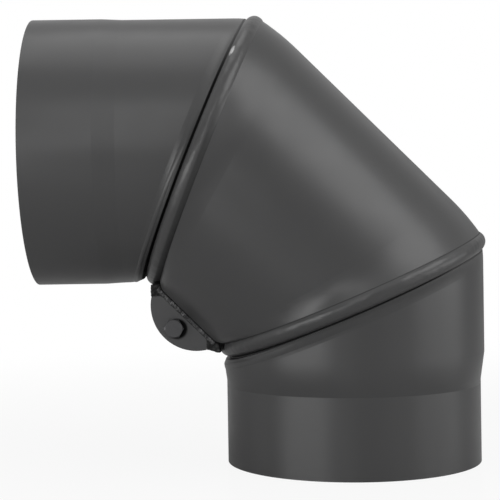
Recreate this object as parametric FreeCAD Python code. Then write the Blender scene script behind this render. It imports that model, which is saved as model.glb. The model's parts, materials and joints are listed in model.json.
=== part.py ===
import FreeCAD, Part
import math
import os

from FreeCAD import Placement, Rotation, Vector

# Adjustable stove pipe elbow for a 150 mm flue, folded to a right angle.
#
# Two tubes join a wide middle gore at two slanting swivel rings. At each ring the rim of the
# gore is rolled into a round bead, and the bead traps a flange on the end of the tube, so the
# two segments turn on each other. A slanting cut through a round tube is oval, so each end is
# pressed to a circle of the same girth. A small sweep hatch sits in the throat of the gore.
#
# Millimetres. +Z runs up the lower tube, and the origin is the middle of its spigot's rim. The
# elbow folds in the XZ plane, with the upper tube towards -X and the near side at -Y.

# Sheet and bore
BORE_R = 75.0           # inside of the tubes
WALL = 2.0              # steel sheet
SPIGOT_EASE = 0.3       # how far the spigot stays inside the bore
SOCKET_SWELL = 0.6      # how far the upper tube's mouth is sized up,
SOCKET_DEPTH = 40.0     # over this length, before it tapers back
SOCKET_MARGIN = 1.0     # from the end of the taper to the pressed end of the tube
GORE_EXTRA_R = 2.5      # how far the gore's sheet stands outside the tubes
GORE_SET_OUT = 1.2      # how far the gore's axis lies outside the line of the ring centres

# Bend
FOLD = 90.0             # turn of the whole elbow, in degrees
BEND_R = 147.0          # from the centre of the bend to each segment's axis
INLET_LEG = 98.0        # from the upper ring's centre to the mouth
OUTLET_LEG = 97.5       # from the lower ring's centre to the spigot's rim
SPIGOT_LENGTH = 48.0    # part that goes into the next tube
NECK_DOWN = 16.0        # height over which the spigot widens to the tube

# Swivel ring, in its own section: r from the ring's axis, s along it and positive into the gore
SHOULDER_S = -5.4       # where the tube's shoulder stops, just short of the lip
SHOULDER_BACK = 0.4     # how far the shoulder stands over the neck at the back,
SHOULDER_SIDE = 0.2     # at the sides
SHOULDER_THROAT = 3.4   # and in the throat
FORM_LENGTH = 6.6       # stretch of tube that is pressed from oval to round
FORM_ANGLE = 7.0        # wedge of gore that is pressed from oval to round, in degrees
LIP_PLAY = 0.35         # lip to neck
FLANGE_PLAY = 0.3       # tip of the flange to the inside of the bead
FLANGE_BEND = 2.2       # bevel at the root of the flange
BEAD_R = 5.5            # outside of the rolled bead, in section
BEAD_S = 0.87           # middle of the bead
BEAD_RISE = 1.65        # crest of the bead over its foot

# Sweep hatch in the throat of the gore, in a frame with heights from the gore's middle line
HATCH_WIDTH = 36.0      # between the cheeks
CHEEK_T = 2.0
CHEEK_R = 26.5          # rounded outer edge
CHEEK_RISE = 15.7       # outermost point over the gore's sheet
CHEEK_HALF = 22.2       # half of the length between the corners
HATCH_SHIFT = 1.0       # how far the hatch sits towards the upper ring
HATCH_HOLE_LONG = 26.0  # hole in the gore, along its axis
HATCH_HOLE_WIDE = 26.0  # and across
HATCH_HOLE_CORNER = 5.0
LID_T = 1.5
LID_INSET = 0.6         # the lid's outside inside the edge of the cheeks
LID_PLAY = 0.3          # lid to cheeks and lid to gore
WELD_LEG = 2.4          # fillet along the root of a cheek
WELD_END = 6.5          # width of the fill between the end of a cheek and the bead

# Hatch bolt, M6
BOLT_RISE = 7.8         # middle of the bolt over the gore's sheet
BOLT_D = 6.0
BOLT_HOLE_PLAY = 0.3    # in the cheeks and in the sleeve
THREAD_PLAY = 0.05
HEX_FLATS = 10.0
HEAD_T = 4.0
NUT_T = 5.0
HEX_CHAMFER = 0.5
BOLT_SPARE = 2.5        # thread that stands out of the nut
SLEEVE_BITE = 0.4       # how far the sleeve is let into the lid's weld

# Worked out from the sizes above
TUBE_R = BORE_R + WALL
SPIGOT_R = BORE_R - SPIGOT_EASE
GORE_R = TUBE_R + GORE_EXTRA_R
TILT = math.radians(FOLD / 4)
CLEAR = 10.0            # overrun of cutting bodies
FAR = 2 * (BEND_R + BORE_R + INLET_LEG + OUTLET_LEG)


def same_girth(radius):
    """Radius of the circle with the girth of a slanting cut through a round tube."""
    return math.sqrt(((radius / math.cos(TILT)) ** 2 + radius ** 2) / 2)


def chord(radius, offset):
    """Half of a circle's chord at that distance from its middle."""
    return math.sqrt(radius ** 2 - offset ** 2)


NECK_R = same_girth(TUBE_R)
LIP_R = NECK_R + LIP_PLAY
FOOT_R = same_girth(GORE_R)
CREST_R = FOOT_R + BEAD_RISE
BEAD_MID_R = CREST_R - BEAD_R
HOLLOW_R = BEAD_R - WALL
FOOT_S = BEAD_S + chord(BEAD_R, FOOT_R - BEAD_MID_R)
FLANGE_S = BEAD_S - WALL / 2
FLANGE_R = BEAD_MID_R + chord(HOLLOW_R, WALL / 2) - FLANGE_PLAY

THROAT = GORE_R - GORE_SET_OUT
CHEEK_FACE = HATCH_WIDTH / 2 + CHEEK_T
CHEEK_MID = THROAT + CHEEK_RISE - CHEEK_R
CHEEK_CORNER = CHEEK_MID + chord(CHEEK_R, CHEEK_HALF)
CHEEK_ROOT = chord(GORE_R, CHEEK_FACE) - GORE_SET_OUT
BOLT_AT = THROAT + BOLT_RISE
BOLT_R = BOLT_D / 2


def along(angle):
    """Direction in the fold plane, turned by that angle from +Z towards -X."""
    return Vector(-math.sin(angle), 0, math.cos(angle))


def frame_at(origin, angle, sense):
    """Frame with Z along the direction at that angle, or against it, and X at the elbow's back."""
    back = Vector(math.cos(angle), 0, math.sin(angle))
    axis = along(angle) * sense
    return Placement(origin, Rotation(back, axis.cross(back), axis, "ZXY"))


RING_B = Vector(0, 0, OUTLET_LEG)
GORE_HALF = BEND_R * math.tan(TILT)
LOWER_RING = frame_at(RING_B, TILT, 1)
UPPER_RING = frame_at(RING_B + along(2 * TILT) * (2 * GORE_HALF), 3 * TILT, -1)
GORE_FRAME = frame_at(RING_B + along(2 * TILT) * GORE_HALF, 2 * TILT, 1)
HATCH_FRAME = frame_at(RING_B + along(2 * TILT) * (GORE_HALF + HATCH_SHIFT), 2 * TILT, 1)

# Lines of the segments in a ring's frame, each with the direction across it towards the back
TUBE_LINE = Vector(math.sin(TILT), 0, math.cos(TILT))
TUBE_ACROSS = Vector(math.cos(TILT), 0, -math.sin(TILT))
GORE_LINE = Vector(-math.sin(TILT), 0, math.cos(TILT))
GORE_ACROSS = Vector(math.cos(TILT), 0, math.sin(TILT))
BEND_CENTRE = Vector(-BEND_R / math.cos(TILT), 0, 0)
X_AXIS = Vector(1, 0, 0)
Y_AXIS = Vector(0, 1, 0)
Z_AXIS = Vector(0, 0, 1)
ORIGIN = Vector(0, 0, 0)


def placed(shape, placement):
    """Copy of a shape, moved from its own frame into the elbow's."""
    moved = shape.copy()
    moved.Placement = placement.multiply(moved.Placement)
    return moved


def joined(shapes):
    """One solid from shapes that meet, with faces that were split made whole."""
    return shapes[0].multiFuse(shapes[1:]).removeSplitter()


def single(shape):
    """The one solid of a shape."""
    solids = shape.Solids
    if len(solids) != 1:
        raise ValueError("one solid was expected, not %d" % len(solids))
    return solids[0]


def beyond(point, normal):
    """Large block on the side of a plane that its normal points to."""
    block = Part.makeBox(2 * FAR, 2 * FAR, FAR, Vector(-FAR, -FAR, 0))
    return placed(block, Placement(point, Rotation(Z_AXIS, normal)))


def wire_of(corners, spread):
    """Closed wire; a pair of points in the list is an arc's middle and its end."""
    edges = []
    here = spread(corners[0])
    for corner in corners[1:] + corners[:1]:
        if len(corner) == 4:
            middle = spread(corner[:2])
            there = spread(corner[2:])
            edges.append(Part.Arc(here, middle, there).toShape())
        else:
            there = spread(corner)
            edges.append(Part.makeLine(here, there))
        here = there
    return Part.Wire(edges)


def turned(corners):
    """Solid turned about Z from corners (r, z)."""
    wire = wire_of(corners, lambda at: Vector(at[0], 0, at[1]))
    return Part.Face(wire).revolve(ORIGIN, Z_AXIS, 360)


def plate(corners, low, high):
    """Plate in the hatch's frame from corners (height off the middle line, place along it)."""
    wire = wire_of(corners, lambda at: Vector(-at[0], low, at[1]))
    return Part.Face(wire).extrude(Y_AXIS * (high - low))


def section(radius, axis, line, across, point, normal):
    """Oval where a plane cuts a round tube: its centre, its reach to the back, its half width."""
    def on_plane(start):
        return start + line * ((point - start).dot(normal) / line.dot(normal))

    centre = on_plane(axis)
    return centre, on_plane(axis + across * radius) - centre, radius


def blend(first, middle, last):
    """Oval halfway along a curve that leaves the first one towards the middle one."""
    return tuple(a * 0.25 + b * 0.5 + c * 0.25 for a, b, c in zip(first, middle, last))


def hoop(oval):
    centre, reach, half = oval
    if abs(reach.Length - half) < 0.001:
        return Part.Wire([Part.Circle(centre, Z_AXIS, half).toShape()])
    return Part.Wire([Part.Ellipse(centre + reach, centre + Y_AXIS * half, centre).toShape()])


def pressed(first, middle, last, smooth):
    """Solid that runs from one oval to another, with a smooth skin or with two straight strips."""
    hoops = [hoop(first), hoop(blend(first, middle, last)), hoop(last)]
    return Part.makeLoft(hoops, True, not smooth)


def tube_oval(radius, s):
    return section(radius, ORIGIN, TUBE_LINE, TUBE_ACROSS, Vector(0, 0, s), Z_AXIS)


def tube_body(radius, overrun, leg, last):
    """Solid out to a tube's skin, in its ring's frame, from its mouth to the oval called last."""
    start_s = SHOULDER_S - FORM_LENGTH
    middle_s = (start_s + last[0].z) / 2
    rod = Part.makeCylinder(radius, leg + FAR, TUBE_LINE * (-leg - overrun), TUBE_LINE)
    rod = rod.cut(beyond(Vector(0, 0, start_s), Z_AXIS))
    outer = overrun == 0
    return [rod, pressed(tube_oval(radius, start_s), tube_oval(radius, middle_s), last, outer)]


def tube_segment(leg):
    """Tube with its pressed end, its neck and its flange, in the frame of its ring."""
    back = NECK_R + SHOULDER_BACK
    throat = NECK_R + SHOULDER_THROAT
    shift = (back - throat) / 2
    shoulder = (Vector(shift, 0, SHOULDER_S), X_AXIS * (back - shift), NECK_R + SHOULDER_SIDE)
    neck = turned([
        (0, SHOULDER_S),
        (NECK_R, SHOULDER_S),
        (NECK_R, FLANGE_S),
        (FLANGE_R, FLANGE_S),
        (FLANGE_R, FLANGE_S + WALL),
        (0, FLANGE_S + WALL),
    ])
    outside = joined(tube_body(TUBE_R, 0, leg, shoulder) + [neck])

    inner_r = NECK_R - WALL
    inner_s = SHOULDER_S - WALL / 2
    rounded = (Vector(0, 0, inner_s), X_AXIS * inner_r, inner_r)
    throughway = turned([
        (0, inner_s),
        (inner_r, inner_s),
        (inner_r, FLANGE_S + WALL - FLANGE_BEND),
        (inner_r + FLANGE_BEND, FLANGE_S + WALL),
        (inner_r + FLANGE_BEND, FLANGE_S + WALL + CLEAR),
        (0, FLANGE_S + WALL + CLEAR),
    ])
    inside = joined(tube_body(BORE_R, CLEAR, leg, rounded) + [throughway])
    return outside, inside


def sized_mouth(radius, overrun):
    """Space inside the mouth of the upper tube, which is sized up so that a spigot goes in."""
    pressed_s = SHOULDER_S - FORM_LENGTH
    throat = INLET_LEG + (pressed_s - TUBE_R * math.sin(TILT)) / math.cos(TILT)
    end = throat - SOCKET_MARGIN
    sized = turned([
        (0, -overrun),
        (radius + SOCKET_SWELL, -overrun),
        (radius + SOCKET_SWELL, SOCKET_DEPTH),
        (radius, end),
        (0, end),
    ])
    mouth = Placement(TUBE_LINE * -INLET_LEG, Rotation(TUBE_ACROSS, Y_AXIS, TUBE_LINE, "ZXY"))
    return placed(sized, mouth)


def inlet_segment():
    outside, inside = tube_segment(INLET_LEG)
    outside = joined([outside, sized_mouth(TUBE_R, 0)])
    inside = joined([inside, sized_mouth(BORE_R, CLEAR)])
    return single(placed(outside.cut(inside), UPPER_RING))


def neck_down(inset):
    """Space inside the spigot and its widening, and all that lies above them."""
    low_r = SPIGOT_R - inset
    top = SPIGOT_LENGTH + NECK_DOWN
    return turned([
        (0, -2 * CLEAR),
        (low_r, -2 * CLEAR),
        (low_r, SPIGOT_LENGTH),
        (TUBE_R - inset, top),
        (2 * TUBE_R, top),
        (2 * TUBE_R, FAR),
        (0, FAR),
    ])


def outlet_segment():
    outside, inside = tube_segment(OUTLET_LEG)
    outside = placed(outside, LOWER_RING).common(neck_down(0))
    inside = placed(inside, LOWER_RING).common(neck_down(WALL))
    return single(outside.cut(inside))


def gore_end(radius, foot_r, foot_s, smooth):
    """Pressed end of the gore in a ring's frame, from the plain barrel to a round foot."""
    ovals = []
    for share in (1.0, 0.5):
        angle = math.radians(FORM_ANGLE) * share
        normal = Vector(-math.sin(angle), 0, math.cos(angle))
        point = BEND_CENTRE + Z_AXIS * (foot_s * (1 - share))
        axis = GORE_ACROSS * GORE_SET_OUT
        ovals.append(section(radius, axis, GORE_LINE, GORE_ACROSS, point, normal))
    foot = (Vector(0, 0, foot_s), X_AXIS * foot_r, foot_r)
    return pressed(ovals[0], ovals[1], foot, smooth)


def gore_barrel(radius):
    """Plain middle of the gore, in its own frame."""
    barrel = Part.makeCylinder(radius, FAR, Vector(GORE_SET_OUT, 0, -FAR / 2), Z_AXIS)
    angle = TILT - math.radians(FORM_ANGLE)
    for side in (-1, 1):
        normal = Vector(-math.sin(angle), 0, side * math.cos(angle))
        barrel = barrel.cut(beyond(Vector(-BEND_R, 0, 0), normal))
    return barrel


def gore_solid(extra):
    """Solid out to the skin of the gore and its beads, or to a skin that lies that far over it."""
    bead_r = BEAD_R + extra
    foot_r = FOOT_R + extra
    foot_s = BEAD_S + chord(bead_r, foot_r - BEAD_MID_R)
    lip_s = BEAD_S - chord(bead_r, LIP_R - BEAD_MID_R)
    bead = turned([
        (0, foot_s),
        (foot_r, foot_s),
        (BEAD_MID_R + bead_r, BEAD_S, LIP_R, lip_s),
        (0, lip_s),
    ])
    end = gore_end(GORE_R + extra, foot_r, foot_s, extra == 0)
    pieces = [placed(gore_barrel(GORE_R + extra), GORE_FRAME)]
    for ring in (LOWER_RING, UPPER_RING):
        pieces += [placed(end, ring), placed(bead, ring)]
    return joined(pieces)


def middle_gore(skin):
    """Wide middle segment with a rolled bead at each end and the hatch's hole in its throat."""
    shell = skin.cut(gore_solid(-WALL))
    for ring in (LOWER_RING, UPPER_RING):
        mouth = Part.makeCylinder(LIP_R, BEAD_R + CLEAR, Vector(0, 0, BEAD_S), Z_AXIS * -1)
        shell = shell.cut(placed(mouth, ring))
    long = HATCH_HOLE_LONG
    wide = HATCH_HOLE_WIDE
    corner = Vector(-THROAT - CLEAR, -wide / 2, -long / 2)
    hole = Part.makeBox(GORE_R / 2, wide, long, corner)
    edges = [edge for edge in hole.Edges if abs(edge.tangentAt(edge.FirstParameter).x) > 0.9]
    hole = hole.makeFillet(HATCH_HOLE_CORNER, edges)
    return single(shell.cut(placed(hole, HATCH_FRAME)))


def end_of_cheek(height):
    """Half length of a cheek at that height: its ends run parallel to the tubes."""
    return CHEEK_HALF - (CHEEK_CORNER - height) / math.tan(2 * TILT)


def hatch_form(inset, low, high):
    """Block between two heights on Y, with the cheeks' outline or one that lies inside it."""
    root = CHEEK_ROOT - CLEAR / 2
    top = CHEEK_MID + CHEEK_R + CLEAR
    inward = inset / math.sin(2 * TILT)
    wedge = plate([
        (root, end_of_cheek(root) - inward),
        (top, end_of_cheek(top) - inward),
        (top, inward - end_of_cheek(top)),
        (root, inward - end_of_cheek(root)),
    ], low, high)
    disc = Part.makeCylinder(CHEEK_R - inset, high - low, Vector(-CHEEK_MID, low, 0), Y_AXIS)
    return wedge.common(disc)


def cheek(side, skin):
    """Flat plate of the hatch, scribed to the gore."""
    faces = sorted((side * HATCH_WIDTH / 2, side * CHEEK_FACE))
    blank = placed(hatch_form(0, faces[0], faces[1]), HATCH_FRAME).cut(skin)
    hole = Part.makeCylinder(BOLT_R + BOLT_HOLE_PLAY, FAR, Vector(0, 0, -FAR / 2))
    return single(blank.cut(placed(hole, BOLT_FRAME)))


def weld(side, skin, plate_welded):
    """Weld along the root of a cheek and up both of its ends."""
    root = CHEEK_ROOT - WELD_LEG
    toe = chord(GORE_R, CHEEK_FACE + WELD_LEG) - GORE_SET_OUT
    half = end_of_cheek(CHEEK_ROOT) + WELD_END
    fillet = Part.Face(Part.makePolygon([
        Vector(-CHEEK_ROOT - WELD_LEG, side * CHEEK_FACE, -half),
        Vector(-toe, side * (CHEEK_FACE + WELD_LEG), -half),
        Vector(-root, side * CHEEK_FACE, -half),
        Vector(-CHEEK_ROOT - WELD_LEG, side * CHEEK_FACE, -half),
    ])).extrude(Z_AXIS * (2 * half))
    faces = sorted((side * HATCH_WIDTH / 2, side * CHEEK_FACE))
    drop = WELD_END * math.cos(2 * TILT)
    out = WELD_END * math.sin(2 * TILT)
    pieces = [fillet]
    for end in (-1, 1):
        pieces.append(plate([
            (root, end * end_of_cheek(root)),
            (CHEEK_CORNER, end * CHEEK_HALF),
            (CHEEK_CORNER - drop, end * (CHEEK_HALF + out)),
            (root - drop, end * (end_of_cheek(root) + out)),
        ], faces[0], faces[1]))
    return single(placed(joined(pieces), HATCH_FRAME).cut(skin).cut(plate_welded))


def hatch_lid():
    """Strip bent to the cheeks' outline, standing with its two ends on the gore."""
    half = HATCH_WIDTH / 2 - LID_PLAY
    strip = hatch_form(LID_INSET, -half, half).cut(hatch_form(LID_INSET + LID_T, -half, half))
    return single(placed(strip, HATCH_FRAME).cut(placed(gore_barrel(GORE_R + LID_PLAY), GORE_FRAME)))


# Frame of the bolt: Z from its head on the near cheek to its nut on the far one
BOLT_FRAME = Placement(
    HATCH_FRAME.multVec(Vector(-BOLT_AT, 0, 0)),
    Rotation(X_AXIS, Z_AXIS * -1, Y_AXIS, "ZXY"),
)


def hexagon(low, high, chamfered):
    """Hexagonal block with its corners cut back at the end that is called chamfered."""
    corner_r = HEX_FLATS / 2 / math.cos(math.pi / 6)
    corners = []
    for step in range(7):
        angle = math.pi / 3 * step
        corners.append(Vector(corner_r * math.cos(angle), corner_r * math.sin(angle), low))
    block = Part.Face(Part.makePolygon(corners)).extrude(Z_AXIS * (high - low))
    other = low + high - chamfered
    inward = math.copysign(HEX_CHAMFER, other - chamfered)
    return block.common(turned([
        (0, chamfered),
        (corner_r - HEX_CHAMFER * math.sqrt(3), chamfered),
        (corner_r, chamfered + inward),
        (corner_r, other),
        (0, other),
    ]))


def hatch_bolt():
    head = hexagon(-CHEEK_FACE - HEAD_T, -CHEEK_FACE, -CHEEK_FACE - HEAD_T)
    length = 2 * CHEEK_FACE + NUT_T + BOLT_SPARE
    shank = Part.makeCylinder(BOLT_R, length, Vector(0, 0, -CHEEK_FACE))
    tip = max(shank.Edges, key=lambda edge: edge.CenterOfMass.z)
    shank = shank.makeChamfer(HEX_CHAMFER, [tip])
    return single(placed(joined([head, shank]), BOLT_FRAME))


def hatch_nut():
    nut = hexagon(CHEEK_FACE, CHEEK_FACE + NUT_T, CHEEK_FACE + NUT_T)
    thread = Part.makeCylinder(BOLT_R + THREAD_PLAY, FAR, Vector(0, 0, -FAR / 2))
    return single(placed(nut.cut(thread), BOLT_FRAME))


def hatch_sleeve(lid):
    """Spacer on the bolt, welded to the inside of the lid."""
    under_lid = CHEEK_MID + CHEEK_R - LID_INSET - LID_T
    radius = under_lid - BOLT_AT + SLEEVE_BITE
    half = HATCH_WIDTH / 2 - LID_PLAY
    tube = Part.makeCylinder(radius, 2 * half, Vector(0, 0, -half))
    bore = Part.makeCylinder(BOLT_R + BOLT_HOLE_PLAY, FAR, Vector(0, 0, -FAR / 2))
    return single(placed(tube.cut(bore), BOLT_FRAME).cut(lid))


def all_pieces():
    skin = gore_solid(0)
    pieces = {
        "inlet_segment": inlet_segment(),
        "middle_gore": middle_gore(skin),
        "outlet_segment": outlet_segment(),
        "hatch_lid": hatch_lid(),
        "hatch_bolt": hatch_bolt(),
        "hatch_nut": hatch_nut(),
    }
    pieces["hatch_sleeve"] = hatch_sleeve(pieces["hatch_lid"])
    for name, side in (("near", -1), ("far", 1)):
        pieces["hatch_cheek_" + name] = cheek(side, skin)
        pieces["hatch_weld_" + name] = weld(side, skin, pieces["hatch_cheek_" + name])
    return pieces


os.makedirs("parts", exist_ok=True)
for node, shape in all_pieces().items():
    if not shape.isValid():
        raise ValueError("%s isn't a valid solid" % node)
    shape.exportStep("parts/" + node + ".step")
    print("%-18s %9.1f mm3, %3d faces" % (node, shape.Volume, len(shape.Faces)))
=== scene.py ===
# %% [markdown]
# # Adjustable stove pipe elbow
#
# The elbow is three pieces of rolled steel sheet that turn on two slanting rings, with a small
# bolted sweep hatch in the throat. The exact solids come from the part's source, already packed
# as a frame of nodes and bodies. This scene dresses them: it sets the camera, mixes the paints,
# adds the welds and the fine edges beside the rings, and lights everything softly.

# %% Load the frame
import json
import math
from collections import namedtuple

import bpy
import numpy as np
from mathutils import Matrix, Vector, noise


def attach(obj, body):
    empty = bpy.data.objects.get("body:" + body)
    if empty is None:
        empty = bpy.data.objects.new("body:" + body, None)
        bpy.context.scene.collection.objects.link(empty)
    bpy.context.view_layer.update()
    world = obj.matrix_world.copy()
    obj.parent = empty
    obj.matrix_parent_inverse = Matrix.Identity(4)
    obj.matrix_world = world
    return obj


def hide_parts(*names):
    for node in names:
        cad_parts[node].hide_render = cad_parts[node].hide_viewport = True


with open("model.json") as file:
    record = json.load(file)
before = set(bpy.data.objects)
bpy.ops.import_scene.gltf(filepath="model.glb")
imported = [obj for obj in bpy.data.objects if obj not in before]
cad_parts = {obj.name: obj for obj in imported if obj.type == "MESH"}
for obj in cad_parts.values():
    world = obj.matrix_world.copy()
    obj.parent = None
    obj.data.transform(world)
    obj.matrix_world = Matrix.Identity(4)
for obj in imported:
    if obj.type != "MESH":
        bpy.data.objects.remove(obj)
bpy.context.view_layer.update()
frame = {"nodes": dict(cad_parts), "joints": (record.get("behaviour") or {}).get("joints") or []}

nodes = frame["nodes"]


def new_object(name, data):
    """Object with that data, linked to the scene."""
    thing = bpy.data.objects.new(name, data)
    bpy.context.scene.collection.objects.link(thing)
    return thing


print("nodes:", ", ".join(sorted(nodes)))

# %% [markdown]
# ## The camera
#
# The photograph was taken from straight in front, about three quarters of a metre away, with a
# lens that is long for that distance. The place, the small tilts and the focal length were
# found by laying the elbow's own outlines over the photograph, so they are plain numbers here.
# A camera looks along its own -Z with +Y up, so the three columns of its rotation are its
# right, its up and its backward direction.

# %% Camera at the photograph's place
EYE = Vector((-0.06510, -0.76343, 0.13626))
YAW, PITCH, ROLL = -0.0067, -0.0153, 0.0159
SENSOR, LENS = 36.0, 92.76      # both in mm

turn = (Matrix.Rotation(YAW, 3, "Z") @ Matrix.Rotation(PITCH, 3, "X")
        @ Matrix.Rotation(ROLL, 3, "Y"))
right, forward, up = turn.col
look = Matrix((right, up, -forward)).transposed()

camera_data = bpy.data.cameras.new("photo_camera")
camera_data.sensor_width = SENSOR
camera_data.lens = LENS
camera = new_object("photo_camera", camera_data)
camera.matrix_world = Matrix.Translation(EYE) @ look.to_4x4()
bpy.context.scene.camera = camera
bpy.context.scene.view_settings.view_transform = "Standard"
print("camera at", tuple(round(v, 4) for v in EYE), "lens", LENS, "mm")

# %% [markdown]
# ## Small helpers for node materials
#
# Every finish here is built from Blender's own nodes. A helper that adds a node, sets its
# sockets and links its inputs keeps each recipe short enough to read as a list of steps. In all
# of them a share is a value between 0 and 1 that says how much of something is there.

# %% Node helpers
def new_material(name):
    """Material, its tree and its shader."""
    material = bpy.data.materials.new(name)
    material.use_nodes = True
    return material, material.node_tree, material.node_tree.nodes["Principled BSDF"]


def add(tree, kind, links=None, values=None, **settings):
    """A node of that kind, with its settings, its socket values and what feeds its sockets."""
    node = tree.nodes.new(kind)
    for key, value in settings.items():
        setattr(node, key, value)
    for key, value in (values or {}).items():
        node.inputs[key].default_value = value
    for key, source in (links or {}).items():
        tree.links.new(source, node.inputs[key])
    return node


def object_point(tree):
    """The place of a point on the object, in the frame's own metres."""
    return add(tree, "ShaderNodeTexCoord").outputs["Object"]


def math_node(tree, operation, *sources):
    """A Math node's result. Each source is a socket or a plain number."""
    node = add(tree, "ShaderNodeMath", operation=operation)
    for slot, source in enumerate(sources):
        if isinstance(source, (int, float)):
            node.inputs[slot].default_value = source
        else:
            tree.links.new(source, node.inputs[slot])
    return node.outputs[0]


def product(tree, first, *others):
    """All the sources multiplied."""
    for other in others:
        first = math_node(tree, "MULTIPLY", first, other)
    return first


def largest(tree, first, *others):
    """The largest of the sources."""
    for other in others:
        first = math_node(tree, "MAXIMUM", first, other)
    return first


def ramp(tree, source, low, high, to_low=0.0, to_high=1.0, kind="SMOOTHSTEP"):
    """Value that goes from to_low to to_high as the source goes from low to high."""
    node = add(tree, "ShaderNodeMapRange", links={"Value": source}, interpolation_type=kind,
               values={"From Min": low, "From Max": high, "To Min": to_low, "To Max": to_high})
    return node.outputs[0]


def mottle(tree, point, scale, detail, roughness=0.5):
    """Cloudy noise between 0 and 1: lumps per metre, steps of finer detail, their strength."""
    node = add(tree, "ShaderNodeTexNoise", links={"Vector": point},
               values={"Scale": scale, "Detail": detail, "Roughness": roughness})
    return node.outputs["Fac"]


def mix(tree, share, first, second):
    """Colour that goes from the first to the second. Each is a socket or a plain colour."""
    node = add(tree, "ShaderNodeMix", data_type="RGBA", links={"Factor": share})
    for key, source in (("A", first), ("B", second)):
        if isinstance(source, tuple):
            node.inputs[key].default_value = source
        else:
            tree.links.new(source, node.inputs[key])
    return node.outputs["Result"]


def finish(tree, skin, colour, gloss):
    """Links a shader's colour and its roughness."""
    tree.links.new(colour, skin.inputs["Base Color"])
    tree.links.new(gloss, skin.inputs["Roughness"])


def bump(tree, skin, height, strength, distance=1.0):
    """Bends a shader's normals by a height, which is in metres or else a share of a distance."""
    node = add(tree, "ShaderNodeBump", links={"Height": height},
               values={"Strength": strength, "Distance": distance})
    tree.links.new(node.outputs["Normal"], skin.inputs["Normal"])


print("helpers ready")

# %% [markdown]
# ## Distances inside a material
#
# Most of the finishes here depend on where a point lies: how far from a tube's axis, or how far
# over a plane. The length of a cross product with an axis gives the first, and a dot product
# with a normal gives the second. Both work whichever way the tube points. Object coordinates
# turn with a segment, so a finish stays in its place when the elbow turns.
#
# The elbow bends in the plane y = 0. Each ring lies in a plane through the centre of the bend,
# at an angle of its own.

# %% Rings, directions and distances
MM = 0.001
ORIGIN = Vector((0.0, 0.0, 0.0))
UP = Vector((0.0, 0.0, 1.0))
ACROSS = Vector((0.0, 1.0, 0.0))                    # from the camera's side to the far side
BEND_CENTRE = Vector((-147.0, 0.0, 36.611)) * MM
UPPER_DEGREES, GORE_DEGREES, LOWER_DEGREES = 67.5, 45.0, 22.5

places = {joint["name"]: Vector(joint["pos_m"]) for joint in frame["joints"]}
upper, lower = places["upper_swivel"], places["lower_swivel"]
gore_middle = (upper + lower) / 2
run = (upper - lower).normalized()


def radial(degrees):
    """Direction in the fold plane, away from the centre of the bend, at that angle from +X."""
    return Vector((math.cos(math.radians(degrees)), 0.0, math.sin(math.radians(degrees))))


def tangent(degrees):
    """Direction in the fold plane in which the bend goes on from lower to upper tube."""
    return Vector((-math.sin(math.radians(degrees)), 0.0, math.cos(math.radians(degrees))))


def vector_node(tree, operation, source, *plain):
    """A Vector Math node on a socket and, where one is given, a plain vector."""
    node = add(tree, "ShaderNodeVectorMath", links={0: source}, operation=operation)
    for vector in plain:
        node.inputs[1].default_value = vector
    return node


def distance_from_axis(tree, point, centre, direction):
    """How far a point lies from the line through a centre, in a direction of length 1."""
    away = vector_node(tree, "SUBTRACT", point, centre)
    crossed = vector_node(tree, "CROSS_PRODUCT", away.outputs[0], direction)
    return vector_node(tree, "LENGTH", crossed.outputs[0]).outputs["Value"]


def height_over(tree, point, place, normal):
    """How far a point lies over the plane through a place, on the side of its normal."""
    away = vector_node(tree, "SUBTRACT", point, place)
    return vector_node(tree, "DOT_PRODUCT", away.outputs[0], normal).outputs["Value"]


for name, place in places.items():
    print(name, "at", tuple(round(v / MM, 1) for v in place), "mm")

# %% [markdown]
# ## Where a tube's inside begins
#
# One solid holds both the outside and the inside of a rolled tube, but they aren't finished
# alike: the paint is sprayed on from outside, and only a thin, dull mist of it gets inside.
# The material tells the two apart by how far a point lies from the tube's axis, compared with
# the middle of the wall there. Near a swivel ring the tube is pressed from oval to round, so
# its radius is no guide there, and flat limits keep the inside finish away from the rings.
# The lower tube is smaller below, at its spigot, and the turn between the two is pressed round.
# The solid has that turn as a straight cone, and a bump rounds it off.

# %% The inside of each segment
PRESSED = 12.2 * MM            # stretch of tube in front of a ring that is pressed round
GORE_SET_OUT = 1.2 * MM        # how far the gore's axis lies outside the rings' middles
INSIDE_FROM, INSIDE_TO = 30.0, 60.0           # angles of the bend that limit the gore's inside
WALL_SOFT = 0.3 * MM           # half the width over which outside turns into inside
LIMIT_SOFT = 3.0 * MM          # the length over which the inside finish fades in at a limit
SPIGOT_FROM, SPIGOT_TO = 48.0 * MM, 64.0 * MM      # heights over which the spigot widens
SPIGOT_LESS = 2.3 * MM                             # how much smaller its radius is below
RUN_OUT = 2.6 * MM                                 # the turn is pressed a little farther down,
RUN_OUT_SLOPE = 2 * SPIGOT_LESS / (SPIGOT_TO - SPIGOT_FROM)   # at the slope where it ends

# For each segment: a point on its axis, the axis, the radius of the middle of its wall, and the
# planes beyond which the inside finish begins, each as a place and a normal
segments = {
    "inlet_segment": (upper, Vector((1, 0, 0)), 76.3 * MM,
                      [(upper + tangent(UPPER_DEGREES) * PRESSED, tangent(UPPER_DEGREES))]),
    "middle_gore": (gore_middle + radial(GORE_DEGREES) * GORE_SET_OUT, run, 78.5 * MM,
                    [(BEND_CENTRE, tangent(INSIDE_FROM)), (BEND_CENTRE, -tangent(INSIDE_TO))]),
    "outlet_segment": (lower, UP, 76.0 * MM,
                       [(lower - tangent(LOWER_DEGREES) * PRESSED, tangent(LOWER_DEGREES) * -1)]),
}


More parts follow.
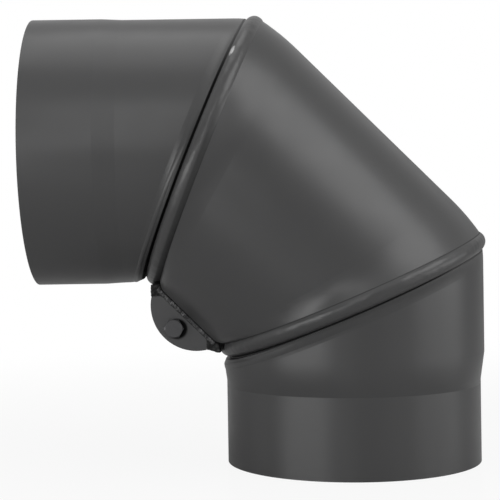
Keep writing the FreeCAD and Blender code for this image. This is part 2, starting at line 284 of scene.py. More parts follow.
def inside_share(tree, point, name):
    """1 on the inside of a segment and 0 on its outside, its ends and round its rings."""
    centre, direction, wall_r, limits = segments[name]
    distance = distance_from_axis(tree, point, centre, direction)
    if name == "outlet_segment":
        height = height_over(tree, point, ORIGIN, UP)
        less = ramp(tree, height, SPIGOT_FROM, SPIGOT_TO, SPIGOT_LESS, 0.0, kind="LINEAR")
        distance = math_node(tree, "ADD", distance, less)
    share = ramp(tree, distance, wall_r - WALL_SOFT, wall_r + WALL_SOFT, 1.0, 0.0)
    return product(tree, share, *(ramp(tree, height_over(tree, point, *limit), 0.0, LIMIT_SOFT)
                                  for limit in limits))


def rounded_turn(tree, point):
    """Height of the rounding where the lower tube turns in to its spigot."""
    height = height_over(tree, point, ORIGIN, UP)
    share = ramp(tree, height, SPIGOT_FROM, SPIGOT_TO, 1.0, 0.0, kind="LINEAR")
    rounding = product(tree, share, math_node(tree, "SUBTRACT", 1.0, share), SPIGOT_LESS)
    run_out = ramp(tree, height, SPIGOT_FROM - RUN_OUT, SPIGOT_FROM,
                   0.0, RUN_OUT * RUN_OUT_SLOPE, kind="LINEAR")
    return math_node(tree, "ADD", rounding, run_out)


for name, (centre, direction, wall_r, limits) in segments.items():
    print(name, "axis through", tuple(round(v, 4) for v in centre), "along",
          tuple(round(v, 3) for v in direction), "middle of the wall at",
          round(wall_r / MM, 1), "mm")

# %% [markdown]
# ## Painted shade
#
# Where a tube goes in behind a bead, the gap is painted almost black, as painted shade for the
# crevice. It is darkest in the throat and fades towards the back of the elbow. Shade is also
# painted in three other places: where the bead meets the gore's wall, in the valley between the
# upper bead and the inlet's raised edge, and along the welds of the hatch. A crescent of painted
# shadow lies on the plate to the right of the bolt's head, as light from the left would cast it.

# %% Shares of painted shade
# A ring's middle, its angle, how dark the painted shade in its gap is, how dark the painted
# shade in the lee of its bead is, and how far from its plane the neck of a tube is still in the
# gap
Ring = namedtuple("Ring", "middle degrees gap_depth lee_depth neck")
UPPER_RING = Ring(upper, UPPER_DEGREES, 0.92, 0.35, 5.7 * MM)
LOWER_RING = Ring(lower, LOWER_DEGREES, 0.80, 0.0, 5.2 * MM)

# The rings that each segment ends in, and the side of the ring's plane on which it lies
ring_ends = {
    "inlet_segment": [(UPPER_RING, 1)],
    "middle_gore": [(UPPER_RING, -1), (LOWER_RING, 1)],
    "outlet_segment": [(LOWER_RING, -1)],
}

# Each pair of lengths here and below says where a change begins and where it is done.
# Heights over a ring's middle, towards the elbow's back:
GAP_SHADE_FADES = (30.0 * MM, 76.0 * MM)            # the painted shade in a gap fades over these heights,
GAP_SHADE_LEFT = 0.2                                # till it is only this dark
THROAT_SHADE_ENDS = (0.0, 26.0 * MM)                # the painted shade of the throat ends over these

# Distances from a ring's axis and from its plane, for the painted shade:
NECK_SOFT = 0.2 * MM
FLANK_R, FLANK_S = (81.0 * MM, 81.5 * MM), (-3.4 * MM, -2.9 * MM)    # painted shade on the flank in the gap ends
CORNER_R = (82.9 * MM, 83.4 * MM)             # painted shade in the corner of the other flank and the wall ends
CORNER_FROM, CORNER_TO = (3.8 * MM, 4.4 * MM), (4.8 * MM, 5.1 * MM)
CORNER_DEPTH = 0.45
LEE_SHADE_FROM = (1.2 * MM, 2.4 * MM)               # painted shade in the lee of a bead, in front of that corner
EDGE_S = 8.3 * MM                             # the crest of the inlet's raised edge


def gap_shade_share(tree, point, name):
    """Share of painted shade: 1 in the gap between tube and bead, less in a bead's corner and lee
    and in the inlet's valley, and 0 elsewhere.
    """
    shares = []
    for ring, side in ring_ends[name]:
        from_plane = height_over(tree, point, ring.middle, tangent(ring.degrees) * side)
        to_back = height_over(tree, point, ring.middle, radial(ring.degrees))
        depth = ramp(tree, to_back, *GAP_SHADE_FADES, ring.gap_depth, GAP_SHADE_LEFT)
        in_throat = ramp(tree, to_back, *THROAT_SHADE_ENDS, 1.0, 0.0)
        if name == "middle_gore":
            # painted shade on the bead's flank in the gap, and in the bead's corner and lee
            from_axis = distance_from_axis(tree, point, ring.middle, tangent(ring.degrees))
            flank = product(tree, ramp(tree, from_axis, *FLANK_R, 1.0, 0.0),
                            ramp(tree, from_plane, *FLANK_S, 1.0, 0.0))
            corner = product(tree, ramp(tree, from_axis, *CORNER_R, 1.0, 0.0),
                             ramp(tree, from_plane, *CORNER_FROM, 0.0, CORNER_DEPTH))
            if ring.lee_depth > 0:
                lee = ramp(tree, from_plane, *LEE_SHADE_FROM, 0.0, ring.lee_depth)
                corner = product(tree, largest(tree, corner, lee), in_throat)
            shares.append(product(tree, flank, depth))
            shares.append(product(tree, corner, ramp(tree, from_plane, *CORNER_TO, 1.0, 0.0)))
        else:
            # painted shade on a tube's neck inside the gap
            neck = ramp(tree, from_plane, ring.neck - NECK_SOFT, ring.neck + NECK_SOFT, 1.0, 0.0)
            shares.append(product(tree, neck, depth))
        if name == "inlet_segment":
            # painted shade in the valley in front of the inlet's raised edge
            valley = ramp(tree, from_plane, ring.neck, EDGE_S, ring.lee_depth, 0.0)
            shares.append(product(tree, valley, in_throat))
    return largest(tree, *shares)


CHEEK_FACE = 20.0 * MM         # from the fold plane to the outer face of a hatch's cheek
WELD_LEG = 2.4 * MM
WELD_SKEW = 0.66 * MM          # the gore's wall bends away a little over the height of the weld
TOE_SHADE_LINE = 0.55 * MM           # width of the painted shade line along a weld
HATCH_ENDS = (27.0 * MM, 29.0 * MM)           # along the gore, from its middle
HATCH_IN_THROAT = (-60.0 * MM, -50.0 * MM)    # over the gore's axis
weld_top = max((corner.co - gore_middle).dot(radial(GORE_DEGREES))
               for corner in nodes["hatch_weld_near"].data.vertices)


def toe_shade_share(tree, point, name):
    """1 in the line of painted shade along a hatch's weld, on the gore or on its plates, and 0
    elsewhere.
    """
    from_axis = height_over(tree, point, gore_middle, radial(GORE_DEGREES))
    along = math_node(tree, "ABSOLUTE", height_over(tree, point, gore_middle, run))
    near = ramp(tree, along, *HATCH_ENDS, 1.0, 0.0)
    if name == "middle_gore":
        side = math_node(tree, "ABSOLUTE", height_over(tree, point, ORIGIN, ACROSS))
        past_weld = math_node(tree, "SUBTRACT", side, CHEEK_FACE + WELD_LEG)
        near = product(tree, near, ramp(tree, from_axis, *HATCH_IN_THROAT, 1.0, 0.0))
    else:
        past_weld = math_node(tree, "SUBTRACT", weld_top - WELD_LEG - WELD_SKEW, from_axis)
    return product(tree, ramp(tree, past_weld, TOE_SHADE_LINE, 2 * TOE_SHADE_LINE, 1.0, 0.0), near)


BOLT_SHADOW_AT = Vector((1.8, 0.0, -0.4)) * MM        # the middle of the painted shadow crescent, from the bolt's
BOLT_SHADOW_EDGE = (5.0 * MM, 6.8 * MM)               # radii over which it ends
# how dark the painted shadow is
BOLT_SHADOW_DEPTH = 0.9
bolt_middle = sum((Vector(corner) for corner in nodes["hatch_bolt"].bound_box), Vector()) / 8


def bolt_shadow_share(tree, point):
    """Share of the painted shadow beside the bolt's head, and 0 elsewhere."""
    distance = distance_from_axis(tree, point, bolt_middle + BOLT_SHADOW_AT, ACROSS)
    return ramp(tree, distance, *BOLT_SHADOW_EDGE, BOLT_SHADOW_DEPTH, 0.0)


def painted_shade_share(tree, point, name):
    """1 where shade is painted on a segment or the hatch's plates, and 0 elsewhere."""
    if name == "hatch_plates":
        return largest(tree, toe_shade_share(tree, point, name), bolt_shadow_share(tree, point))
    gap = gap_shade_share(tree, point, name)
    return largest(tree, gap, toe_shade_share(tree, point, name)) if name == "middle_gore" else gap


print("the hatch's welds begin", round(-weld_top / MM, 2), "mm inside the gore's axis")
print("the bolt's middle is at", tuple(round(v / MM, 1) for v in bolt_middle), "mm")

# %% [markdown]
# ## What hands left on the beads, and a painted glint
#
# The beads were rolled by hand, so they are never quite even: faint waves bend the light that
# runs along them. They are too low to see in the outline, so a bump makes them. Near the top of
# the upper bead the photograph shows a small glint. It is a painted highlight here: a small
# spot of bright metal.

# %% Waves and a painted glint
BEAD_NOISE = (120.0, 1.0)
BEAD_WAVE_HEIGHT = 1.0 * MM    # between the extremes that the noise never quite reaches
BEAD_OUTSIDE = (82.9 * MM, 84.4 * MM)         # radii over which the waves set in
BEAD_SIDES = (4.4 * MM, 5.4 * MM)             # distances from its plane where they end

GLINT_AT = Vector((-68.5, -63.3, 234.1)) * MM     # on the side of the bead towards its tube
GLINT_LONG, GLINT_WIDE = 4.8 * MM, 1.5 * MM      # its reach along the ring and across
GLINT_NOISE = (900.0, 3.0)
GLINT_RAGGED = 1.4            # how much that noise eats into its edge
GLINT_EDGE = (0.7, 1.8)       # it ends over this, in squares of its reach


def bead_waves(tree, point):
    """Height of the faint waves along the two beads of the gore."""
    on_bead = []
    for ring in (UPPER_RING, LOWER_RING):
        from_axis = distance_from_axis(tree, point, ring.middle, tangent(ring.degrees))
        from_plane = height_over(tree, point, ring.middle, tangent(ring.degrees))
        near = ramp(tree, math_node(tree, "ABSOLUTE", from_plane), *BEAD_SIDES, 1.0, 0.0)
        on_bead.append(product(tree, ramp(tree, from_axis, *BEAD_OUTSIDE), near))
    waves = math_node(tree, "MULTIPLY_ADD", mottle(tree, point, *BEAD_NOISE),
                      BEAD_WAVE_HEIGHT, -BEAD_WAVE_HEIGHT / 2)
    return product(tree, waves, largest(tree, *on_bead))


def painted_glint_share(tree, point):
    """1 on the small spot of the upper bead where a glint is painted in bright metal, and 0
    elsewhere.
    """
    along_ring = (GLINT_AT - upper).cross(tangent(UPPER_DEGREES)).normalized()
    along = math_node(tree, "DIVIDE", height_over(tree, point, GLINT_AT, along_ring),
                      GLINT_LONG)
    across = math_node(tree, "DIVIDE", distance_from_axis(tree, point, GLINT_AT, along_ring),
                       GLINT_WIDE)
    away = math_node(tree, "MULTIPLY_ADD", along, along, product(tree, across, across))
    ragged = math_node(tree, "MULTIPLY_ADD", mottle(tree, point, *GLINT_NOISE),
                       GLINT_RAGGED, away)
    return ramp(tree, ragged, *GLINT_EDGE, 1.0, 0.0)


print("rubbed spot", round((GLINT_AT - upper).length / MM, 1), "mm from the ring's middle")

# %% [markdown]
# ## The grey paint
#
# Stove pipes get a heat-resistant spray paint: dark grey, between matt and satin, with the
# faint pebbled skin of a dry spray. Three scales of noise make it. The finest is the pebble,
# in the bump alone. A middle one varies the gloss a little, as the spray gun's passes do. The
# widest shifts the grey by a few percent, so that no large face is one flat colour, and bends
# the surface by a very low, very long bump, because hand-rolled steel is never quite true.
# Inside, the coat is thin and dull, and some of the dark mill scale under it shows. The painted
# shade in the gaps, corners and along the welds is metal of a black colour, so that it mirrors
# nothing. The painted glint on the upper bead is bright metal.

# %% Paint for the three segments
PAINT, PAINT_LIGHT = (0.0372, 0.0372, 0.0376, 1.0), (0.0414, 0.0414, 0.0418, 1.0)
THIN_MIST, MILL_SCALE = (0.0420, 0.0412, 0.0410, 1.0), (0.0250, 0.0240, 0.0235, 1.0)
# near-black colour of the painted shade
PAINTED_SHADE_BLACK = (0.004, 0.004, 0.004, 1.0)
# bright metal of the painted glint
PAINTED_GLINT = (0.56, 0.56, 0.56, 1.0)
PAINT_IOR = 1.36
PAINT_ROUGHNESS = (0.31, 0.34)
INSIDE_DULLER, SHADE_DULLER = 0.20, 0.6        # how much rougher the inside and the painted shade are
WIDE_NOISE, PASS_NOISE, PEBBLE_NOISE = (9.0, 3.0), (70.0, 1.0), (1500.0, 2.0, 0.55)
WIDE_HEIGHT, PEBBLE_HEIGHT = 0.25 * MM, 0.008 * MM
SCALE_NOISE, SCALE_SHOWS = (38.0, 8.0), (0.42, 0.62)    # mill scale shows where it is high
NOISE_MIDDLE = (0.3, 0.7)      # nearly all of a noise lies between these
BUMP_STRENGTH = 0.6


def grey_paint(name, dark=PAINT, light=PAINT_LIGHT, shade_duller=SHADE_DULLER):
    """The paint of a segment or of the hatch's plates, with its painted shade."""
    material, tree, skin = new_material("paint_" + name)
    point = object_point(tree)
    wide = mottle(tree, point, *WIDE_NOISE)
    pebble = mottle(tree, point, *PEBBLE_NOISE)
    colour = mix(tree, wide, dark, light)
    gloss = ramp(tree, mottle(tree, point, *PASS_NOISE), *NOISE_MIDDLE, *PAINT_ROUGHNESS)
    height = math_node(tree, "MULTIPLY_ADD", wide, WIDE_HEIGHT,
                       product(tree, pebble, PEBBLE_HEIGHT))
    if name in segments:
        inside = inside_share(tree, point, name)
        scale = ramp(tree, mottle(tree, point, *SCALE_NOISE), *SCALE_SHOWS)
        colour = mix(tree, inside, colour, mix(tree, scale, THIN_MIST, MILL_SCALE))
        gloss = math_node(tree, "MULTIPLY_ADD", inside, INSIDE_DULLER, gloss)
    # painted shade: near-black metal, so that it mirrors nothing
    metal = painted_shade = painted_shade_share(tree, point, name)
    colour = mix(tree, painted_shade, colour, PAINTED_SHADE_BLACK)
    gloss = math_node(tree, "MULTIPLY_ADD", painted_shade, shade_duller, gloss)
    if name == "middle_gore":
        # painted glint: a small spot of bright metal on the upper bead
        glint_spot = painted_glint_share(tree, point)
        colour = mix(tree, glint_spot, colour, PAINTED_GLINT)
        metal = largest(tree, painted_shade, glint_spot)
        height = math_node(tree, "ADD", height, bead_waves(tree, point))
    if name == "outlet_segment":
        height = math_node(tree, "MULTIPLY_ADD", rounded_turn(tree, point),
                           1.0 / BUMP_STRENGTH, height)
    finish(tree, skin, colour, gloss)
    tree.links.new(metal, skin.inputs["Metallic"])
    skin.inputs["IOR"].default_value = PAINT_IOR
    bump(tree, skin, height, BUMP_STRENGTH)
    return material


def paint_node(name, material):
    """Gives a CAD node's object one material in its material slot."""
    mesh = nodes[name].data
    mesh.materials.clear()
    mesh.materials.append(material)
    print(name, "is finished in", material.name)


coats = {name: grey_paint(name) for name in segments}
for name, coat in coats.items():
    paint_node(name, coat)

# %% [markdown]
# ## The lengthwise welds
#
# Each piece of rolled sheet is closed by one lengthwise weld. The photograph shows none, so it
# is set on the far side: a low bead, ground down before painting. It is laid on the solid by
# sending rays at it from outside, so it follows the tube also where that is pressed towards a
# ring. Its edges dip just under the surface, and its height swells and sinks a little, as hand
# grinding leaves it.

# %% Ground welds on the far side
COLUMNS = 8                    # faces across a strip
SUNK = 0.06 * MM               # how far a strip's edges dip under the surface
RAY_FROM = 0.2                 # how far from a tube's axis a weld's rays start, in metres
SEAM_HALF = 2.6 * MM
SEAM_RISE = 0.50 * MM
SEAM_STEP = 1.5 * MM
SEAM_FADE = 2                  # rows over which it rises at its ends
SEAM_NOISE, NOISE_APART = 90.0, 3.0           # lumps per metre, and the welds' own places in it
SEAM_WANDER, SEAM_SWELL = 0.06, 0.25          # shares of its half width and of its height
RING_CLEAR, END_CLEAR = 7.5 * MM, 1.5 * MM    # it stops short of the beads and the open ends


def grid_mesh(name, corners, columns):
    """Smooth mesh of corners that come row by row, with that many faces across a row."""
    faces = []
    for i in range(len(corners) // (columns + 1) - 1):
        for j in range(columns):
            first = i * (columns + 1) + j
            faces.append((first, first + 1, first + columns + 2, first + columns + 1))
    mesh = bpy.data.meshes.new(name)
    mesh.from_pydata(corners, [], faces)
    mesh.polygons.foreach_set("use_smooth", [True] * len(faces))
    return mesh


def ray_caster(node_name):
    """Function that tells where a ray from a place, in a direction, hits a node."""
    solid = nodes[node_name].evaluated_get(bpy.context.evaluated_depsgraph_get())
    to_node = solid.matrix_world.inverted()

    def hit_from(place, direction):
        hit, where = solid.ray_cast(to_node @ place, to_node.to_3x3() @ direction)[:2]
        if not hit:
            raise ValueError("a ray misses " + node_name)
        return solid.matrix_world @ where

    return hit_from


def laid_strip(name, node_name, body, corners):
    """Strip of rows of corners, painted like the node that it lies on and riding with it."""
    strip = new_object(name, grid_mesh(name, corners, COLUMNS))
    strip.data.materials.append(coats[node_name])
    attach(strip, body)
    print(name, "has", len(strip.data.polygons), "faces")


def ground_weld(body, node_name, start, stop):
    """Weld on the far side of a segment, between two distances along its axis."""
    name = "ground_weld_" + body
    hit_from = ray_caster(node_name)
    centre, direction = segments[node_name][:2]
    across = direction.cross(ACROSS).normalized()
    rows = max(2, round((stop - start) / SEAM_STEP))
    corners = []
    for i in range(rows + 1):
        along = start + (stop - start) * i / rows
        ends = min(1.0, min(i, rows - i) / SEAM_FADE)
        wobble = noise.noise(Vector((along * SEAM_NOISE, NOISE_APART * len(name), 0.0)))
        for j in range(COLUMNS + 1):
            share = 2 * j / COLUMNS - 1
            offset = across * (SEAM_HALF * (share + SEAM_WANDER * wobble))
            place = hit_from(centre + direction * along + offset + ACROSS * RAY_FROM, -ACROSS)
            swell = (1 - share * share) * (1 + SEAM_SWELL * wobble) * ends
            corners.append(place + ACROSS * (SEAM_RISE * swell - SUNK))
    laid_strip(name, node_name, body, corners)


for body in ("inlet", "outlet"):
    node_name = body + "_segment"
    centre, direction = segments[node_name][:2]
    length = max((Vector(corner) - centre).dot(-direction)
                 for corner in nodes[node_name].bound_box)
    ground_weld(body, node_name, END_CLEAR - length, -RING_CLEAR)
half_gore = (upper - lower).length / 2 - RING_CLEAR
ground_weld("gore", "middle_gore", -half_gore, half_gore)

# %% [markdown]
# ## The raised edges beside the rings
#
# In the photograph a second, much finer line runs beside the upper bead, from the throat up to
# the middle of the tube. There the sheet was pushed up a little when its end was pressed round.
# The lower tube has a softer one. Each is a low, narrow swelling, laid on its tube by rays from
# all round, and it dies out towards the back of the elbow.

# %% Raised edges of the tubes
EDGE_FULL, EDGE_GONE = 80.0, 102.0            # degrees round the ring from the throat
EDGE_STEPS = 200
EDGE_NOISE = 9.0                              # lumps over the radius of the ring
EDGE_WANDER = 0.08                            # as a share of its half width
EDGE_RAY_FROM = 0.11                          # metres from the ring's axis


def raised_edge(body, ring, crest, half, high):
    """Swelling beside a ring, with its crest, its half width and its height in metres."""
    name, node_name = "raised_edge_" + body, body + "_segment"
    hit_from = ray_caster(node_name)
    corners = []
    for i in range(EDGE_STEPS + 1):
        degrees = EDGE_GONE * (2 * i / EDGE_STEPS - 1)
        around = math.radians(degrees)
        outward = ACROSS * math.sin(around) - radial(ring.degrees) * math.cos(around)
        fade = min(1.0, (EDGE_GONE - abs(degrees)) / (EDGE_GONE - EDGE_FULL))
        wobble = noise.noise(outward * EDGE_NOISE)
        for j in range(COLUMNS + 1):
            share = 2 * j / COLUMNS - 1
            along = crest + half * (share + EDGE_WANDER * wobble)
            start = ring.middle + tangent(ring.degrees) * along + outward * EDGE_RAY_FROM
            rise = high * (1 - share * share) * fade - SUNK
            corners.append(hit_from(start, -outward) + outward * rise)
    laid_strip(name, node_name, body, corners)


raised_edge("inlet", UPPER_RING, EDGE_S, 1.35 * MM, 0.50 * MM)
raised_edge("outlet", LOWER_RING, -8.5 * MM, 2.0 * MM, 0.34 * MM)

# %% [markdown]
# ## The hatch's plates and its bolt
#
# The two cheeks and the lid get a lighter copy of the same paint: painted light for the stronger
# light that falls on them. The bolt and its nut were sprayed together with them, and their coat
# is set a little darker. The sleeve round the bolt sits behind the lid, where no spray reaches:
# it stays plain drawn steel, with fine lines along its length.

# %% Plates, bolt, nut and sleeve
# a lighter copy of the grey paint: painted light on the plates
LIT_PLATE, LIT_PLATE_LIGHT = (0.052, 0.052, 0.053, 1.0), (0.058, 0.058, 0.059, 1.0)
BOLT, BOLT_LIGHT = (0.022, 0.022, 0.024, 1.0), (0.036, 0.036, 0.038, 1.0)
STEEL, STEEL_LIGHT = (0.30, 0.30, 0.31, 1.0), (0.46, 0.46, 0.47, 1.0)
PLATE_SHADE_DULLER = 0.5
BOLT_NOISE, BOLT_ROUGHNESS = (420.0, 5.0), (0.34, 0.46)
BOLT_BUMP = (0.25, 0.2 * MM)                  # strength and distance
STEEL_NOISE, STEEL_ROUGHNESS = (2500.0, 3.0), (0.28, 0.42)
DRAWN_LINES = (1.0, 0.03, 1.0)                # lumps are stretched along the sleeve


def bolt_paint():
    """Thin, slightly blotchy coat of the bolt and its nut."""
    material, tree, skin = new_material("paint_bolt")
    blotch = mottle(tree, object_point(tree), *BOLT_NOISE)
    finish(tree, skin, mix(tree, blotch, BOLT, BOLT_LIGHT),
           ramp(tree, blotch, *NOISE_MIDDLE, *BOLT_ROUGHNESS))
    bump(tree, skin, blotch, *BOLT_BUMP)
    return material


def drawn_steel():
    """Bare drawn steel of the sleeve."""
    material, tree, skin = new_material("drawn_steel")
    stretched = add(tree, "ShaderNodeMapping", links={"Vector": object_point(tree)},
                    values={"Scale": DRAWN_LINES})
    lines = mottle(tree, stretched.outputs[0], *STEEL_NOISE)
    finish(tree, skin, mix(tree, lines, STEEL, STEEL_LIGHT),
           ramp(tree, lines, *NOISE_MIDDLE, *STEEL_ROUGHNESS))
    skin.inputs["Metallic"].default_value = 1.0
    return material


lit_plate_paint = grey_paint("hatch_plates", LIT_PLATE, LIT_PLATE_LIGHT, PLATE_SHADE_DULLER)
for name in ("hatch_cheek_near", "hatch_cheek_far", "hatch_lid"):
    paint_node(name, lit_plate_paint)
bolt_coat = bolt_paint()
paint_node("hatch_bolt", bolt_coat)
paint_node("hatch_nut", bolt_coat)
paint_node("hatch_sleeve", drawn_steel())

# %% [markdown]
# ## The welds of the hatch
#
# Each cheek is welded to the gore along its root and up both of its ends, where the weld also
# fills the notch next to the rolled bead. The solid is an exact fillet. A real one is a row of
# overlapping ripples with blobs where the torch stopped, and a larger blob at the lower end
# that runs on to the bead. So each weld here starts as a copy of the solid's own shape: it is
# rebuilt from small even cells, rounded off, and then its skin is pushed in and out by ripples
# along the run and by a lumpy noise. Because it grows out of the solid, it sits exactly where
# the solid does.

# %% Rippled welds
VOXEL = 0.35 * MM
SMOOTHING, SMOOTHINGS = 0.5, 3                # how strong, and how many times
RIPPLE = 1.6 * MM                             # from one ripple to the next
RIPPLE_DEPTH, RIPPLE_SHARPNESS = 0.28 * MM, 0.7
SWELL = 0.22 * MM                             # the whole skin is pushed out by this
LUMPS, LUMP_HEIGHT = 420.0, 0.30 * MM         # per metre
GRAINS, GRAIN_HEIGHT = 1500.0, 0.10 * MM
SWAYS, SWAY = 160.0, 1.2 * MM                 # how the ripples lie unevenly along the run
BLOB_FROM, BLOB_LONG = 23.0 * MM, 4.0 * MM    # along the run, from its middle
UPPER_BLOB, LOWER_BLOB = 0.35 * MM, 0.90 * MM
REACH_FROM, LOWER_REACH = 21.5 * MM, 1.8 * MM      # how far the lower end runs on to the bead


def rippled_weld(node_name, seed):
    """Weld in place of a node's plain one."""
    mesh = nodes[node_name].data.copy()
    mesh.materials.clear()
    weld = new_object(node_name.replace("hatch_weld", "rippled_weld"), mesh)
    rebuild = weld.modifiers.new("cells", "REMESH")
    rebuild.mode = "VOXEL"
    rebuild.voxel_size = VOXEL
    soften = weld.modifiers.new("soften", "SMOOTH")
    soften.factor = SMOOTHING
    soften.iterations = SMOOTHINGS
    bpy.context.view_layer.update()
    shaped = bpy.data.meshes.new_from_object(
        weld.evaluated_get(bpy.context.evaluated_depsgraph_get()))
    weld.modifiers.clear()
    weld.data = shaped

    spots = np.empty(len(shaped.vertices) * 3)
    shaped.vertices.foreach_get("co", spots)
    spots = spots.reshape(-1, 3)
    normals = np.array([corner.normal for corner in shaped.vertices])
    along = (spots - np.array(gore_middle)) @ np.array(run)
    push = np.empty(len(spots))
    for i, spot in enumerate(spots):
        place = Vector(spot)
        lump = noise.noise(place * LUMPS + Vector((seed, 0, 0)))
        grain = noise.noise(place * GRAINS + Vector((0, seed, 0)))
        sway = noise.noise(place * SWAYS + Vector((0, 0, seed))) * SWAY
        crest = 1.0 - abs(math.sin(math.pi * (along[i] + sway) / RIPPLE)) ** RIPPLE_SHARPNESS
        blob = UPPER_BLOB if along[i] > 0 else LOWER_BLOB
        at_end = min(max((abs(along[i]) - BLOB_FROM) / BLOB_LONG, 0.0), 1.0)
        push[i] = (SWELL + LUMP_HEIGHT * lump + GRAIN_HEIGHT * grain - RIPPLE_DEPTH * crest
                   + blob * at_end)
    reach = np.clip((-along - REACH_FROM) / BLOB_LONG, 0.0, 1.0) * LOWER_REACH
    moved = spots + normals * push[:, None] - reach[:, None] * np.array(run)
    shaped.vertices.foreach_set("co", moved.reshape(-1))
    shaped.polygons.foreach_set("use_smooth", [True] * len(shaped.polygons))
    shaped.update()
    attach(weld, "gore")
    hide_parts(node_name)
    print(weld.name, "has", len(shaped.polygons), "faces")
    return weld


# painted shade in the weld's hollows and painted light on its crests, following the bump's lumps
WELD_HOLLOW_SHADE, WELD_CREST_LIT = (0.014, 0.014, 0.015, 1.0), (0.080, 0.080, 0.081, 1.0)
INNER_TOE = (0.45 * MM, 0.90 * MM)            # over the cheek's face: painted shade at the toes of a weld
OUTER_TOE = (1.85 * MM, 2.30 * MM)
TOE_DULLER = 0.4
WELD_NOISE, WELD_SHADING = (620.0, 6.0), (0.38, 0.68)
WELD_SHINES, WELD_ROUGHNESS = (0.35, 0.7), (0.55, 0.24)
WELD_BUMP = (0.6, 0.4 * MM)                   # strength and distance


def weld_paint():
    """Coat of a weld: lighter and smooth on the lumps, darker and dull between them, as painted
    light and shade, with painted shade at its toes.
    """
    material, tree, skin = new_material("paint_on_weld")
    point = object_point(tree)
    lumps = mottle(tree, point, *WELD_NOISE)
    side = math_node(tree, "ABSOLUTE", height_over(tree, point, ORIGIN, ACROSS))
    over_face = math_node(tree, "SUBTRACT", side, CHEEK_FACE)
    toe_shade = largest(tree, ramp(tree, over_face, *INNER_TOE, 1.0, 0.0),
                   ramp(tree, over_face, *OUTER_TOE))
    shaded_tone = mix(tree, ramp(tree, lumps, *WELD_SHADING), WELD_HOLLOW_SHADE, WELD_CREST_LIT)
    gloss = ramp(tree, lumps, *WELD_SHINES, *WELD_ROUGHNESS)
    finish(tree, skin, mix(tree, toe_shade, shaded_tone, PAINTED_SHADE_BLACK),
           math_node(tree, "MULTIPLY_ADD", toe_shade, TOE_DULLER, gloss))
    bump(tree, skin, lumps, *WELD_BUMP)
    return material


weld_coat = weld_paint()
for side, seed in (("near", 3.0), ("far", 11.0)):
    rippled_weld("hatch_weld_" + side, seed).data.materials.append(weld_coat)

# %% [markdown]
# ## The floor
#
# The photograph shows the elbow alone on white. The floor is a plain pale sheet, and what the
# camera sees of it is white. Light Path tells the camera's rays from the rest, so the white
# adds no light to the elbow. Round the elbow the floor mixes that white with its own lit
# surface, so a soft shadow stays, and farther out it goes over into plain white, so no horizon
# shows.

# %% Pale floor
FLOOR_R = 2.5
FLOOR_UNDER = 0.3 * MM         # the floor lies this far under the elbow's lowest face
FLOOR_GREY, FLOOR_ROUGHNESS = (0.62, 0.62, 0.62, 1.0), 0.22
WHITE_FROM, WHITE_TO = 0.15, 0.80             # metres from the elbow's foot
WHITE_NEAR = 0.90                             # share of white up to the first of them


def pale_floor():
    """Round pale floor."""
    bpy.ops.mesh.primitive_circle_add(vertices=96, radius=FLOOR_R, fill_type="NGON",
                                      location=(0, 0, -FLOOR_UNDER))
    floor = bpy.context.object
    floor.name = "pale_floor"
    material, tree, skin = new_material("pale_floor")
    skin.inputs["Base Color"].default_value = FLOOR_GREY
    skin.inputs["Roughness"].default_value = FLOOR_ROUGHNESS
    white = add(tree, "ShaderNodeEmission", values={"Color": (1, 1, 1, 1), "Strength": 1.0})
    away = vector_node(tree, "LENGTH", object_point(tree)).outputs["Value"]
    share = product(tree, add(tree, "ShaderNodeLightPath").outputs["Is Camera Ray"],
                    ramp(tree, away, WHITE_FROM, WHITE_TO, WHITE_NEAR, 1.0))
    mixed = add(tree, "ShaderNodeMixShader",
                links={0: share, 1: skin.outputs[0], 2: white.outputs[0]})
    tree.links.new(mixed.outputs[0], tree.nodes["Material Output"].inputs["Surface"])
    floor.data.materials.append(material)
    return floor


print("floor:", pale_floor().name)

# %% [markdown]
# ## The world behind
#
# The world is white to the camera, and to rays that were mirrored or bent on their way, so the
# gloss of the paint shows that white too. To all other rays it is a weak, even light.

# %% World behind the elbow
AMBIENT = 0.34
world = bpy.data.worlds.new("studio")
world.use_nodes = True
bpy.context.scene.world = world
tree = world.node_tree
path = add(tree, "ShaderNodeLightPath")
seen = largest(tree, *(path.outputs[kind] for kind in
                       ("Is Camera Ray", "Is Glossy Ray", "Is Transmission Ray")))
back = tree.nodes["Background"]
back.inputs["Color"].default_value = (1, 1, 1, 1)
tree.links.new(math_node(tree, "MULTIPLY_ADD", seen, 1.0 - AMBIENT, AMBIENT),
               back.inputs["Strength"])
print("world: ambient light of", AMBIENT)

# %% [markdown]
# ## Soft studio lights
#
# Long soft bands run along each tube, and each band is the blurred mirror image of a soft box.
# A band's place on a round tube tells where its box stands: the surface there faces halfway
# between the camera and the box. Read that way, the photograph has a large box overhead, the
# main box to the right and halfway up, a tall narrow strip next to the camera, and two low
# boxes beside it near the floor. Each box is placed by its azimuth, from the camera's side and
# positive to the right, its elevation and its distance from the middle of the elbow.

# %% Soft boxes
MIDDLE = Vector((-0.05, 0.0, 0.13))


def seen_from_middle(azimuth, elevation):
    """Direction from the elbow at that azimuth, counted from the camera's side, and elevation."""
    turned, rise = math.radians(azimuth), math.radians(elevation)
    return Vector((math.cos(rise) * math.sin(turned), -math.cos(rise) * math.cos(turned),
                   math.sin(rise)))


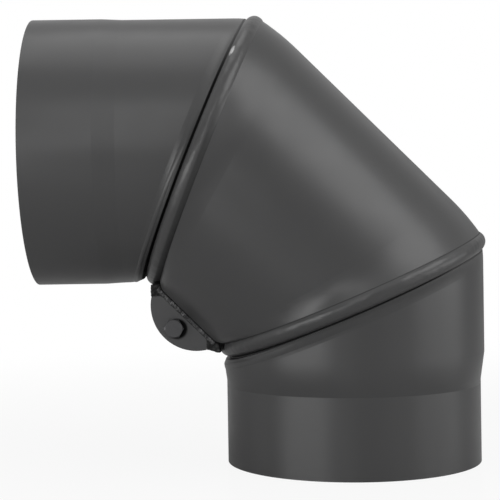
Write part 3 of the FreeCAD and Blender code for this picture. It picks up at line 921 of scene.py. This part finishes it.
def soft_box(name, azimuth, elevation, distance, width, height, power):
    """Rectangular lamp that looks at the elbow, in metres and watts."""
    data = bpy.data.lights.new(name, "AREA")
    data.shape = "RECTANGLE"
    data.size = width
    data.size_y = height
    data.energy = power
    box = new_object(name, data)
    box.location = MIDDLE + distance * seen_from_middle(azimuth, elevation)
    box.rotation_euler = (MIDDLE - box.location).to_track_quat("-Z", "Y").to_euler()
    box.visible_camera = False
    print("%-14s %4.1f W at (%.2f, %.2f, %.2f)" % (name, power, *box.location))


soft_box("top_box", -120, 83, 1.25, 0.95, 0.75, 3.4)
soft_box("right_box", 55, 40, 1.25, 0.90, 0.62, 7.4)
soft_box("strip_box", -9, 21, 1.25, 0.20, 0.85, 2.2)
soft_box("left_low_box", -45, 2, 1.00, 0.85, 0.28, 4.8)
soft_box("right_low_box", 74, 4, 1.10, 0.90, 0.36, 2.5)

# %% [markdown]
# ## Gauze that shapes the reflections
#
# The bands in the photograph are set apart by darker ones, and the elbow's rims are grey where
# a glancing view should mirror the white behind. So the room beside the camera was dark, and
# something grey stood behind, as it often does in a studio to keep an edge crisp. Curved sheets
# of gauze stand for both: each lets through only a share of the white that lies beyond it. They
# are outside the picture, cast no shadow, and only reflections see them.

# %% Sheets of gauze
GAUZE_R = 1.8
GAUZE_STEPS = 16


def gauze(name, azimuths, elevations, lets_through):
    """Patch of a large sphere round the elbow, between two azimuths and two elevations."""
    shares = [step / GAUZE_STEPS for step in range(GAUZE_STEPS + 1)]
    corners = []
    for j in shares:
        elevation = elevations[0] + (elevations[1] - elevations[0]) * j
        for i in shares:
            azimuth = azimuths[0] + (azimuths[1] - azimuths[0]) * i
            corners.append(MIDDLE + GAUZE_R * seen_from_middle(azimuth, elevation))
    sheet = new_object(name, grid_mesh(name, corners, GAUZE_STEPS))
    material, tree, skin = new_material(name)
    tree.nodes.remove(skin)
    thread = add(tree, "ShaderNodeBsdfTransparent",
                 values={"Color": (lets_through, lets_through, lets_through, 1.0)})
    tree.links.new(thread.outputs[0], tree.nodes["Material Output"].inputs["Surface"])
    sheet.data.materials.append(material)
    sheet.visible_camera = False
    sheet.visible_diffuse = False
    sheet.visible_shadow = False
    print(name, "from", azimuths[0], "to", azimuths[1], "degrees lets through", lets_through)


gauze("left_gauze", (-76, -26), (-4, 30), 0.03)
gauze("front_gauze", (-26, 24), (-4, 30), 0.40)
gauze("low_back_gauze", (105, 255), (-4, 20), 0.36)
gauze("back_gauze", (105, 255), (20, 62), 0.64)
